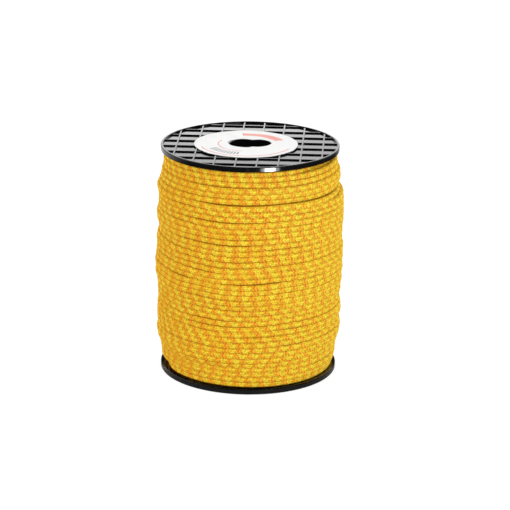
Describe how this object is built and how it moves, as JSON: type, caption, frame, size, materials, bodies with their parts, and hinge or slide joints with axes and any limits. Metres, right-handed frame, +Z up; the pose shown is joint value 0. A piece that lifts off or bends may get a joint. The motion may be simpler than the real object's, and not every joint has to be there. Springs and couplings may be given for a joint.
{
  "type": "cord spool",
  "caption": "Moulded spool with two waffle-ribbed flanges on a core tube, wound to past its rims with braided cord, with a round paper label.",
  "frame": {"origin": "centre of the base, in the plane of the lower flange's rim", "axes": "+Z up along the spindle bore, from the lower flange to the labelled upper flange; +X to the right and +Y away, seen from the front of the label"},
  "size_m": [0.1514, 0.1514, 0.19],
  "materials": {
    "flange_plastic": "gloss",
    "tube_plastic": "satin",
    "cord": "matte",
    "label_paper": "satin"
  },
  "bodies": {
    "root": {"bottom_flange": "flange_plastic", "top_flange": "flange_plastic", "core_tube": "tube_plastic", "cord_start": "cord", "inner_layers": "cord", "outer_layer": "cord", "top_label": "label_paper"}
  },
  "joints": []
}
